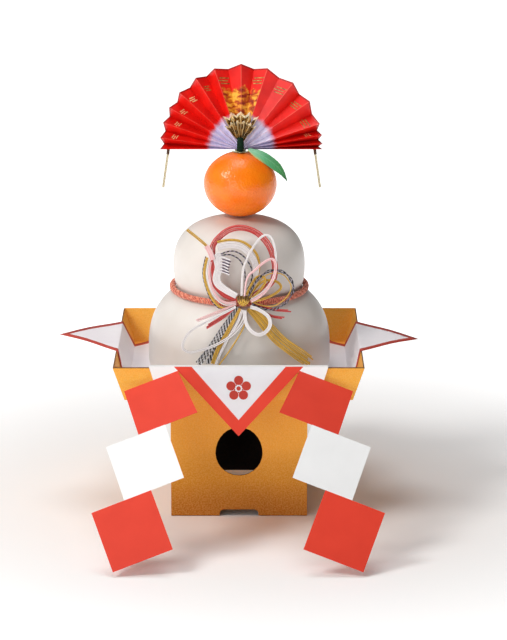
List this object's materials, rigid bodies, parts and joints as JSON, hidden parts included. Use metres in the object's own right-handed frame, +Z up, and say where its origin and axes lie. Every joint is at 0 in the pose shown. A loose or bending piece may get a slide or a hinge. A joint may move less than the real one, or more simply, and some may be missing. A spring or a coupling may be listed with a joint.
{
  "type": "kagami mochi",
  "caption": "New Year rice cake display: moulded two-tier white case with orange, fan and knotted paper cords, standing in a folded gold card tray on a square drum.",
  "frame": {"origin": "middle of the footprint of the whole object, on the table the drum stands on", "axes": "+Z up; the front with the hanging paper faces -Y; +X to the viewer's right"},
  "size_m": [0.2584, 0.3112, 0.3162],
  "materials": {
    "gold_board": "gold card with a fine embossed grain and a soft metallic sheen",
    "white_paper": "white paper and card printed with flat red fields and borders",
    "white_plastic": "moulded satin-gloss plastic case with the look of rice cake",
    "coral_rope": "twisted coral red rope",
    "orange_peel": "dimpled orange peel with a soft gloss",
    "leaf_green": "satin green leaf with a pale underside",
    "stem_tape": "crinkled dark green florist's tape",
    "red_paper": "pleated red paper shading to white at the pivot, with small gold prints",
    "gold_foil": "bright creased gold foil",
    "red_cord": "paper cord wound with red thread",
    "gold_cord": "paper cord wound with gold foil",
    "silver_cord": "paper cord wound with black and silver foil",
    "white_cord": "paper cord wound with pearly white thread",
    "pink_cord": "paper cord wound with pink thread"
  },
  "bodies": {
    "root": {"stand_drum": "gold_board", "stand_tray": "gold_board", "four_corner_paper": "white_paper", "gohei_card": "white_paper", "mochi_case": "white_plastic", "waist_rope": "coral_rope", "orange": "orange_peel", "orange_calyx": "leaf_green", "orange_stem": "stem_tape", "orange_leaf": "leaf_green", "fan": "red_paper", "fan_foil": "gold_foil", "fan_cord_left": "gold_cord", "fan_cord_right": "gold_cord", "mizuhiki_knot": "gold_cord", "mizuhiki_red_arc": "red_cord", "mizuhiki_red_tails": "red_cord", "mizuhiki_beak": "gold_cord", "mizuhiki_head": "white_cord", "mizuhiki_neck": "gold_cord", "mizuhiki_wing": "silver_cord", "mizuhiki_plume": "white_cord", "mizuhiki_pink_tails": "pink_cord", "mizuhiki_white_loop": "white_cord", "mizuhiki_pink_loop": "pink_cord", "mizuhiki_silver_loop": "silver_cord", "mizuhiki_gold_loop": "gold_cord", "mizuhiki_gold_tail": "gold_cord", "mizuhiki_round_loop": "white_cord", "mizuhiki_long_loop": "white_cord", "mizuhiki_gold_tails": "gold_cord", "mizuhiki_bronze_tail": "gold_cord", "mizuhiki_silver_tails": "silver_cord", "mizuhiki_silver_tail_inner": "silver_cord"}
  },
  "joints": []
}
